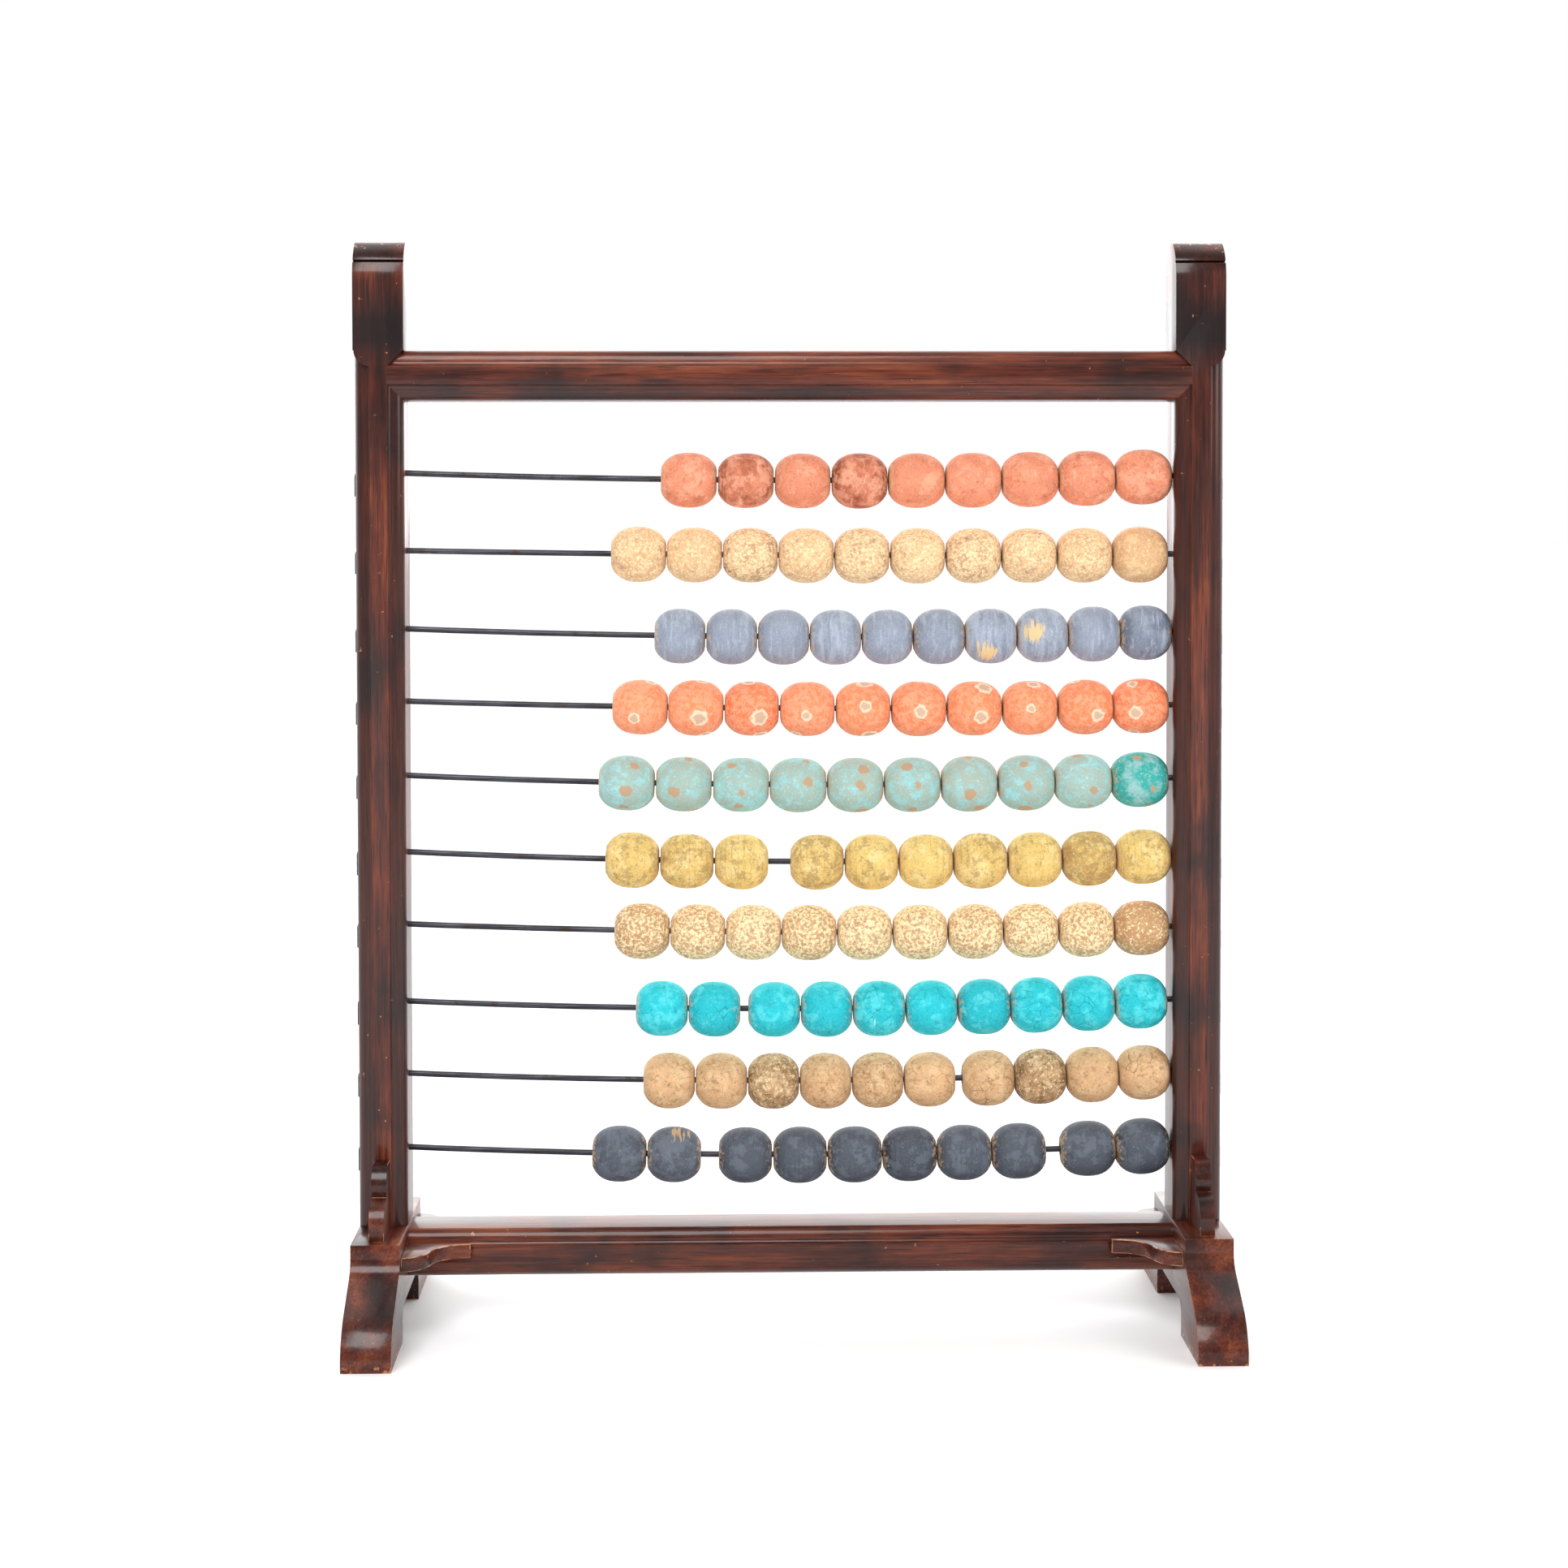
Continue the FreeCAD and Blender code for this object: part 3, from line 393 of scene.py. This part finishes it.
def layer_mask(tree, place, own, kind, size_mm, amount, wear_gain, strength):
    """Where one layer of a bead's paint shows, from 0 to its strength."""
    scale = {"Scale": spots(size_mm)}
    if kind in ("chip", "rim"):
        # a chip is a round spot with a ragged edge, and its rim is a slightly larger one
        ragged = add(tree, "TexNoise", {**scale, "Detail": 3.0}, {"Vector": place})
        spot = add(tree, "Math", {**SCALED_SUM, SECOND: RAGGED}, {FIRST: ragged, THIRD: own["chip"]})
        edge = amount + RAGGED / 2
        inside = {LOW: edge + CHIP_SOFTNESS, HIGH: edge, TO_HIGH: strength}
        return add(tree, "MapRange", inside, {VALUE: spot})
    if kind in ("crack", "ring"):
        if kind == "crack":
            feature = {**scale, "feature": "DISTANCE_TO_EDGE"}
            line = add(tree, "TexVoronoi", feature, {"Vector": place})
            line = add(tree, "MapRange", {LOW: amount, HIGH: amount * 0.3}, {VALUE: line})
        else:
            bands = {**scale, "Distortion": 2.5, "Detail": 3.0, "Detail Scale": 2.0}
            line = add(tree, "TexWave", bands, {"Vector": place}, "Fac")
            line = add(tree, "MapRange", {LOW: 1 - amount, HIGH: 1.0}, {VALUE: line})
        some = add(tree, "TexNoise", {"Scale": spots(size_mm * 2)}, {"Vector": place})
        broken = add(tree, "MapRange", {LOW: 0.45, HIGH: 0.6, TO_HIGH: strength}, {VALUE: some})
        return add(tree, "Math", TIMES, {FIRST: line, SECOND: broken})
    if kind in ("streak", "scuff"):
        place = add(tree, "Mapping", {"Scale": STREAK_STRETCH}, {"Vector": place})
    grain = add(tree, "TexNoise", {**scale, "Detail": 7.0, "Roughness": 0.7}, {"Vector": place})
    moved = add(tree, "Math", {**SCALED_SUM, SECOND: wear_gain}, {FIRST: own["wear"], THIRD: grain})
    if kind == "scuff":
        # scratches gather round the one worn place on the bead
        moved = add(tree, "Math", {**SCALED_SUM, SECOND: SCUFF_GATHER}, {FIRST: own["chip"], THIRD: moved})
    shows = {LOW: amount, HIGH: amount + EDGE_SOFTNESS[kind], TO_HIGH: strength}
    return add(tree, "MapRange", shows, {VALUE: moved})


def bead_paint(name, ground, stained, layers, bare="#c9a47c"):
    """Distemper on turned beech: matt, thin, and worn through to the wood at the ends."""
    material, tree, shader, place = new_material(name)
    own = {mark: add(tree, "Attribute", {"attribute_name": mark}, out="Fac") for mark in MARKS}
    cloud = add(tree, "TexNoise", {"Scale": spots(8), "Detail": 5.0, "Roughness": 0.6}, {"Vector": place})
    grit = add(tree, "TexNoise", {"Scale": spots(1.1), "Detail": 4.0, "Roughness": 0.7}, {"Vector": place})

    # the stain is strongest in clouds and towards the bead's ends
    ends = add(tree, "Math", {**SCALED_SUM, SECOND: 0.3}, {FIRST: own["rim"], THIRD: cloud})
    clouded = add(tree, "MapRange", {LOW: 0.34, HIGH: 0.66}, {VALUE: ends})
    stain = add(tree, "Math", TIMES, {FIRST: own["stain"], SECOND: clouded})
    grounds = {**COLOURS, BELOW: colour(ground), ABOVE: colour(stained)}
    paint = add(tree, "Mix", grounds, {AMOUNT: stain}, MIXED)

    # grit and clouds make the paint a little lighter and darker
    mottle = add(tree, "Math", {"operation": "ADD"}, {FIRST: grit, SECOND: cloud})
    value = add(tree, "MapRange", {LOW: 0.7, HIGH: 1.3, TO_LOW: 0.74, TO_HIGH: 1.22}, {VALUE: mottle})
    paint = add(tree, "HueSaturation", links={"Color": paint, "Value": value})

    relief = grit
    for layer in layers:
        mask = layer_mask(tree, place, own, *layer[:-1])
        top = {**COLOURS, ABOVE: colour(layer[-1])}
        paint = add(tree, "Mix", top, {AMOUNT: mask, BELOW: paint}, MIXED)
        if layer[0] in RELIEF_KINDS:
            relief = add(tree, "Math", {"operation": "SUBTRACT"}, {FIRST: relief, SECOND: mask})

    # the rims have rubbed against their neighbours down to the wood
    rub = add(tree, "TexNoise", {"Scale": spots(2.2), "Detail": 4.0}, {"Vector": place})
    rubbed = add(tree, "Math", {**SCALED_SUM, SECOND: 0.42}, {FIRST: own["rim"], THIRD: rub})
    rim = add(tree, "MapRange", {LOW: 0.78, HIGH: 0.88, TO_HIGH: 0.55}, {VALUE: rubbed})
    paint = add(tree, "Mix", {**COLOURS, ABOVE: colour(bare)}, {AMOUNT: rim, BELOW: paint}, MIXED)
    tree.links.new(paint, shader.inputs["Base Color"])
    shader.inputs["Specular IOR Level"].default_value = 0.3
    dull = add(tree, "MapRange", {TO_LOW: BARE_ROUGHNESS, TO_HIGH: PAINT_ROUGHNESS}, {VALUE: relief})
    tree.links.new(dull, shader.inputs["Roughness"])
    bump = add(tree, "Bump", {"Strength": 0.5, "Distance": 0.16 * MM}, {"Height": relief})
    tree.links.new(bump, shader.inputs["Normal"])
    return material


print("kinds of layer with relief:", ", ".join(RELIEF_KINDS))

# %% [markdown]
# The ten rows, from the top, are a table, because the beads are one kind of thing ten times
# over. A layer is its kind, its size in millimetres, how much value it needs before it shows,
# what the bead's wear adds, its strength and its colour. Chips are how many a bead has, and the
# smallest and largest radius in millimetres.

# %% rows
NO_CHIPS = (0, 1.0, 1.0)
ONE_SCUFF = (1, 5.0, 6.5)
ROWS = {
    "coral": {
        "counts": (1, 2, 3, 3),
        "chips": NO_CHIPS,
        "paint": ("#d98666", "#8a4028"),
        "layers": [
            ("patch", 10, 0.52, 0.05, 0.5, "#e8a88a"),
            ("patch", 6, 0.60, 0.10, 0.55, "#a95f42"),
            ("fleck", 1.8, 0.60, 0.05, 0.65, "#7c4030"),
            ("streak", 3.0, 0.60, 0.04, 0.4, "#efbfa6"),
            ("fleck", 1.0, 0.60, 0.0, 0.4, "#f0c0a8"),
        ],
        "stains": (0.15, 0.9, 0.2, 1.1, 0.1, 0.0, 0.1, 0.15, 0.1),
        "wears": (0.4, 0.9, 0.3, 0.6, 0.2, 0.1, 0.3, 0.6, 0.5),
    },
    "cream": {
        "counts": (1, 2, 3, 4),
        "chips": NO_CHIPS,
        "paint": ("#d8ad80", "#9c7049"),
        "layers": [
            ("patch", 9, 0.50, 0.05, 0.5, "#e8c698"),
            ("fleck", 1.6, 0.52, 0.06, 0.75, "#f2dab0"),
            ("fleck", 1.3, 0.56, 0.03, 0.6, "#a67a52"),
            ("patch", 5.0, 0.60, 0.04, 0.75, "#97846e"),
        ],
        "stains": (0.3, 0.1, 1.0, 0.2, 0.7, 0.3, 0.8, 0.2, 0.4, 0.5),
        "wears": (0.5, 0.2, 0.9, 0.6, 0.9, 0.8, 1.0, 0.7, 0.6, -0.6),
    },
    "grey": {
        "counts": (1, 2, 3, 4),
        "chips": ONE_SCUFF,
        "paint": ("#8e97a6", "#5f6877"),
        "layers": [
            ("streak", 2.6, 0.52, 0.05, 0.5, "#a9b2c0"),
            ("streak", 4.0, 0.56, 0.02, 0.5, "#6c7584"),
            ("fleck", 1.2, 0.62, 0.02, 0.6, "#d5dae2"),
            ("patch", 6.0, 0.60, 0.03, 0.45, "#727c8c"),
            ("scuff", 1.7, 0.66, 0.36, 0.95, "#d8b985"),
        ],
        "stains": (0.2, 0.3, 0.25, 0.1, 0.25, 0.45, 0.1, 0.15, 0.3, 1.0),
        "wears": (0.0, 0.0, 0.0, 0.95, 0.0, 0.1, 1.05, 1.15, 0.1, 0.1),
    },
    "orange": {
        "counts": (1, 2, 3, 4),
        "chips": (5, 2.2, 3.8),
        "paint": ("#e8875c", "#df6238"),
        "layers": [
            ("fleck", 3.0, 0.50, 0.06, 0.5, "#f4ad8a"),
            ("patch", 6, 0.58, 0.05, 0.55, "#cf9272"),
            ("fleck", 1.3, 0.60, 0.02, 0.6, "#a4583a"),
            ("rim", 2.4, 1.25, 0.0, 0.75, "#f6d3ba"),
            ("chip", 2.4, 0.85, 0.0, 0.85, "#b89c82"),
            ("fleck", 1.6, 0.58, 0.0, 0.5, "#e08a62"),
        ],
        "stains": (0.1, 0.2, 0.8, 0.3, 0.2, 0.5, 0.3, 0.3, 0.4, 0.7),
        "wears": (0.9, 0.8, 0.5, 1.0, 0.5, 0.9, 0.6, 0.8, 0.5, 0.7),
    },
    "turquoise": {
        "counts": (1, 2, 3, 4),
        "chips": (6, 2.0, 3.8),
        "paint": ("#93c3c2", "#2f9a92"),
        "layers": [
            ("patch", 9, 0.46, 0.12, 0.7, "#95a397"),
            ("patch", 7, 0.53, 0.03, 0.6, "#8acbd3"),
            ("fleck", 1.8, 0.55, 0.05, 0.55, "#b3a283"),
            ("fleck", 1.2, 0.58, 0.0, 0.5, "#cdf0f0"),
            ("chip", 3.4, 0.95, 0.0, 0.9, "#b08e6c"),
        ],
        "stains": (0.0, 0.2, 0.1, 0.15, 0.1, 0.2, 0.1, 0.15, 0.0, 1.6),
        "wears": (0.3, 0.9, 0.25, 0.5, 0.9, 0.6, 1.0, 0.4, 0.5, -1.5),
    },
    "yellow": {
        "counts": (1, 2, 3, 4),
        "chips": NO_CHIPS,
        "paint": ("#dbbb70", "#a98243"),
        "layers": [
            ("patch", 9, 0.52, 0.04, 0.5, "#ead398"),
            ("patch", 6, 0.55, 0.10, 0.6, "#a08354"),
            ("ring", 11, 0.10, 0.0, 0.35, "#8d6c38"),
            ("crack", 6, 0.03, 0.0, 0.45, "#80602f"),
            ("fleck", 1.5, 0.57, 0.05, 0.6, "#957541"),
            ("fleck", 1.4, 0.60, 0.03, 0.6, "#f5e6b8"),
        ],
        "stains": (0.3, 0.5, 0.15, 0.3, 0.2, 0.15, 0.3, 0.2, 1.0, 0.2),
        "wears": (0.5, 0.6, 0.3, 0.8, 0.4, 0.2, 0.4, 0.1, 0.9, 0.2),
    },
    "gold": {
        "counts": (1, 2, 3, 4),
        "chips": NO_CHIPS,
        "paint": ("#c49a6e", "#9f764f"),
        "layers": [
            ("fleck", 1.8, 0.49, 0.06, 0.9, "#f3dfb2"),
            ("fleck", 1.4, 0.54, 0.02, 0.7, "#9a6f48"),
            ("patch", 5, 0.60, 0.04, 0.7, "#9f8a70"),
        ],
        "stains": (0.7, 0.3, 0.1, 0.3, 0.1, 0.1, 0.3, 0.2, 0.1, 0.8),
        "wears": (0.2, 0.6, 1.0, 0.5, 1.0, 1.0, 0.8, 0.8, 0.7, -0.6),
    },
    "blue": {
        "counts": (1, 1, 3, 5),
        "chips": ONE_SCUFF,
        "paint": ("#22bfcb", "#0b8d9a"),
        "layers": [
            ("patch", 8, 0.53, 0.05, 0.5, "#64d6dc"),
            ("fleck", 1.6, 0.60, 0.03, 0.7, "#14626a"),
            ("patch", 5, 0.60, 0.05, 0.55, "#2c8f8e"),
            ("crack", 7, 0.03, 0.0, 0.6, "#0b6f7a"),
            ("scuff", 2.2, 0.62, 0.20, 0.7, "#b4e8e2"),
        ],
        "stains": (0.1, 0.5, 0.2, 0.5, 0.3, 0.1, 0.7, 0.2, 0.3, 0.1),
        "wears": (0.6, 0.2, 0.5, 0.4, 0.9, 0.3, 0.3, 0.6, 0.2, 1.0),
    },
    "natural": {
        "counts": (1, 2, 3, 4),
        "chips": NO_CHIPS,
        "paint": ("#d3a87c", "#7a5a34"),
        "layers": [
            ("patch", 10, 0.50, 0.0, 0.5, "#e0c096"),
            ("patch", 4.5, 0.57, 0.08, 0.6, "#94714b"),
            ("fleck", 1.6, 0.58, 0.06, 0.75, "#694a30"),
            ("crack", 8, 0.025, 0.0, 0.6, "#5c3f28"),
            ("fleck", 2.0, 0.64, 0.12, 0.7, "#eedcb0"),
        ],
        "stains": (0.1, 0.2, 1.0, 0.25, 0.35, 0.1, 0.2, 1.1, 0.2, 0.25),
        "wears": (0.1, 0.2, 1.0, 0.3, 0.5, 0.1, 0.3, 0.9, 0.1, 0.2),
    },
    "black": {
        "counts": (1, 1, 6, 2),
        "chips": ONE_SCUFF,
        "paint": ("#535964", "#2f333b"),
        "layers": [
            ("patch", 8, 0.50, 0.04, 0.5, "#6d7682"),
            ("ring", 9, 0.08, 0.0, 0.3, "#1f2228"),
            ("fleck", 1.4, 0.62, 0.03, 0.55, "#989ea7"),
            ("scuff", 1.7, 0.66, 0.30, 0.9, "#b99d78"),
            ("fleck", 1.5, 0.66, 0.05, 0.65, "#a98a64"),
        ],
        "stains": (0.4, 0.2, 0.5, 0.5, 0.5, 1.0, 0.2, 0.5, 0.5, 0.7),
        "wears": (0.9, 1.1, 0.1, 0.2, 0.1, 0.1, 0.3, 0.0, 0.5, 0.4),
    },
}
print(sum(sum(row["counts"]) for row in ROWS.values()), "beads in", len(ROWS), "rows")

# %% [markdown]
# A bead is turned on a lathe, and spin is Blender's lathe: a profile of a few points goes once
# round the axis. The profile is a ball with flat ends, softened corners and the bore through
# it. Each bead then gets its own slight lumps, and leans with its wire.

# %% bead shape
BEAD_GAP = 0.35 * MM
BORE = 6.8 * MM
FLAT = 13.4 * MM
FULLNESS = 2.35
SPIN_STEPS = 48
ARC_STEPS = 18
CORNER = 0.45 * MM
LUMP = 0.16 * MM
LUMP_SIZE = 13 * MM
ROUND_SHARE = 0.47
RIM_START = 0.30
BEAD = 31.4 * MM
LENGTH_SHARES = (0.975, 0.995)
WIDTH_SHARES = (0.975, 0.998)
CHIP_WANDER = 0.3
CHIP_REACH = 0.22


def bead_profile(length, diameter):
    """The turned outline of one bead, from the bore at one end to the bore at the other."""
    reach = (1 - (FLAT / diameter) ** FULLNESS) ** (1 / FULLNESS)
    points = [(-length / 2, BORE / 2), (-length / 2, FLAT / 2 - 2 * CORNER)]
    for step in range(ARC_STEPS + 1):
        share = math.sin(math.pi / 2 * (2 * step / ARC_STEPS - 1))
        along = length / 2 * share
        out = diameter / 2 * (1 - abs(share * reach) ** FULLNESS) ** (1 / FULLNESS)
        if step in (0, ARC_STEPS):
            along -= math.copysign(CORNER / 2, along)
        points.append((along, out))
    points += [(length / 2, FLAT / 2 - 2 * CORNER), (length / 2, BORE / 2)]
    return points


def turn_bead(length, diameter):
    """Spins the profile into a closed bead about the x axis."""
    bead = bmesh.new()
    ring = [bead.verts.new((along, 0, out)) for along, out in bead_profile(length, diameter)]
    edges = [bead.edges.new(pair) for pair in zip(ring, ring[1:] + ring[:1])]
    bmesh.ops.spin(
        bead,
        geom=ring + edges,
        cent=(0, 0, 0),
        axis=(1, 0, 0),
        angle=2 * math.pi,
        steps=SPIN_STEPS,
        use_merge=True,
    )
    bmesh.ops.remove_doubles(bead, verts=bead.verts, dist=MERGE)
    bmesh.ops.recalc_face_normals(bead, faces=bead.faces)
    return bead


def bead_places(node_name, count):
    """The middle, length and diameter of each bead in a CAD group."""
    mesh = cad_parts[node_name].data
    points = np.empty(len(mesh.vertices) * 3)
    mesh.vertices.foreach_get("co", points)
    points = points.reshape(-1, 3)
    low, high = points[:, 0].min(), points[:, 0].max()
    pitch = (high - low + BEAD_GAP) / count
    places = []
    for index in range(count):
        start = low + index * pitch - BEAD_GAP / 2
        own = points[(points[:, 0] >= start) & (points[:, 0] < start + pitch)]
        middle = (own.min(axis=0) + own.max(axis=0)) / 2
        size = own.max(axis=0) - own.min(axis=0)
        places.append((middle, size[0], size[1]))
    return places


def chip_places(number, small, large, length, across):
    """The middle and radius of each chip, spread round the bead. The first lies in front."""
    chips = []
    for index in range(number):
        angle = 2 * math.pi * (index + random.uniform(-CHIP_WANDER, CHIP_WANDER)) / number
        along = random.uniform(-CHIP_REACH, CHIP_REACH) * length
        middle = Vector((along, -math.cos(angle) * across / 2, math.sin(angle) * across / 2))
        chips.append((middle, random.uniform(small, large) * MM))
    return chips


def make_lumpy(bead, length):
    """Gives the round of a bead slight lumps, always inwards on the whole."""
    offset = Vector([random.uniform(-9, 9) for _ in range(3)])
    for vert in bead.verts:
        lump = noise.noise(vert.co / LUMP_SIZE + offset) * LUMP
        if abs(vert.co.x) < length * ROUND_SHARE:
            vert.co += Vector((0, vert.co.y, vert.co.z)).normalized() * (lump - LUMP / 3)


print("one bead is", len(bead_profile(BEAD, BEAD)), "points spun", SPIN_STEPS, "times")

# %% [markdown]
# Each CAD node is a group of beads that move together, and its visual piece is turned bead by
# bead in the same places. The wire bows under the load, so each bead leans with the slope of a
# curve through the row's middles. Stain, wear, rim and chip are stored on the points, and the
# paint reads them. A bead is made a hair smaller than its CAD bead, so that its lumps stay inside.

# %% beads
SEED = 7
FAR_FROM_CHIPS = 9.0
random.seed(SEED)
total = 0
for colour_name, row in ROWS.items():
    finish = bead_paint(f"{colour_name}_distemper_on_turned_beech", *row["paint"], row["layers"])
    node_names = [f"{colour_name}_beads_{place}" for place in range(1, len(row["counts"]) + 1)]
    groups = [bead_places(name, count) for name, count in zip(node_names, row["counts"])]
    every = [middle for group in groups for middle, _, _ in group]
    bow = np.polyfit([middle[X] for middle in every], [middle[Z] for middle in every], 2)
    marks = iter(zip(row["stains"], row["wears"]))
    for node_name, group in zip(node_names, groups):
        whole = bmesh.new()
        own = {mark: [] for mark in MARKS}
        for middle, length, across in group:
            bead = turn_bead(length * random.uniform(*LENGTH_SHARES), across * random.uniform(*WIDTH_SHARES))
            make_lumpy(bead, length)
            chips = chip_places(*row["chips"], length, across)
            stain, wear = next(marks)
            for vert in bead.verts:
                ways = [(vert.co - spot).length / radius for spot, radius in chips]
                own["chip"].append(min(ways, default=FAR_FROM_CHIPS))
                own["rim"].append(max(0.0, abs(vert.co.x) / length - RIM_START) / (0.5 - RIM_START))
                own["stain"].append(stain)
                own["wear"].append(wear)
            lean = math.atan(2 * bow[0] * middle[X] + bow[1])
            spot = Matrix.Translation(middle) @ Matrix.Rotation(-lean, 4, "Y")
            bmesh.ops.transform(bead, matrix=spot, verts=bead.verts)
            part = bpy.data.meshes.new("bead")
            bead.to_mesh(part)
            bead.free()
            whole.from_mesh(part)
            bpy.data.meshes.remove(part)
        shade(whole, ROUND_BELOW)
        name = node_name.replace("beads", "beads_turned")
        piece = finish_piece(whole, name, finish, node_name, node_name)
        for attribute, values in own.items():
            layer = piece.data.attributes.new(attribute, "FLOAT", "POINT")
            layer.data.foreach_set("value", values)
    total += len(every)
    print(colour_name, len(every), "beads")
print(total, "beads in all")

# %% [markdown]
# The set is a studio table: a white floor that runs out of sight, one large softbox above and
# in front, a weaker one to the right, and white all round. The world is plain white to the
# camera. As a light it is dimmer in front than behind, so that the polish keeps its depth seen
# from the front and mirrors white at a glancing angle.

# %% stage and light
FLOOR_SIZE = 30.0
DIM_FRONT, BRIGHT_BACK = 0.24, 3.4
FRONT_EDGE = -0.15
KEY_POWER, KEY_SIZE, KEY_PLACE = 56, 1.4, (-0.5, -1.7, 2.0)
FILL_POWER, FILL_SIZE, FILL_PLACE = 14, 1.0, (1.8, -1.2, 1.0)
AIM = (0, 0, 0.3)

floor_mesh = bmesh.new()
bmesh.ops.create_grid(floor_mesh, x_segments=1, y_segments=1, size=FLOOR_SIZE)
floor_data = bpy.data.meshes.new("floor")
floor_mesh.to_mesh(floor_data)
floor_mesh.free()
floor = bpy.data.objects.new("floor", floor_data)
bpy.context.scene.collection.objects.link(floor)
floor_paint, tree, shader, place = new_material("matt_white_painted_table")
shader.inputs["Base Color"].default_value = colour("#f8f8f9")
shader.inputs["Roughness"].default_value = 0.6
shader.inputs["Specular IOR Level"].default_value = 0.2
floor_data.materials.append(floor_paint)

world = bpy.data.worlds.new("studio")
bpy.context.scene.world = world
world.use_nodes = True
tree = world.node_tree
tree.nodes.clear()
way = add(tree, "SeparateXYZ", links={0: add(tree, "TexCoord")}, out="Y")
level = add(tree, "MapRange", {LOW: FRONT_EDGE, TO_LOW: DIM_FRONT, TO_HIGH: BRIGHT_BACK}, {VALUE: way})
glow = add(tree, "Background", {"Color": colour("#ffffff")}, {"Strength": level})
seen = add(tree, "Background", {"Color": colour("#ffffff"), "Strength": 1.0})
to_camera = add(tree, "LightPath", out="Is Camera Ray")
sky = add(tree, "MixShader", links={0: to_camera, 1: glow, 2: seen})
add(tree, "OutputWorld", links={"Surface": sky})


def softbox(name, place, size, power):
    """A square area light that faces the middle of the frame."""
    light = bpy.data.lights.new(name, "AREA")
    light.size = size
    light.energy = power
    lamp = bpy.data.objects.new(name, light)
    bpy.context.scene.collection.objects.link(lamp)
    towards = (Vector(AIM) - Vector(place)).to_track_quat("-Z", "Y")
    lamp.matrix_world = Matrix.Translation(place) @ towards.to_matrix().to_4x4()


softbox("key", KEY_PLACE, KEY_SIZE, KEY_POWER)
softbox("fill", FILL_PLACE, FILL_SIZE, FILL_POWER)
print("key", KEY_POWER, "W and fill", FILL_POWER, "W")
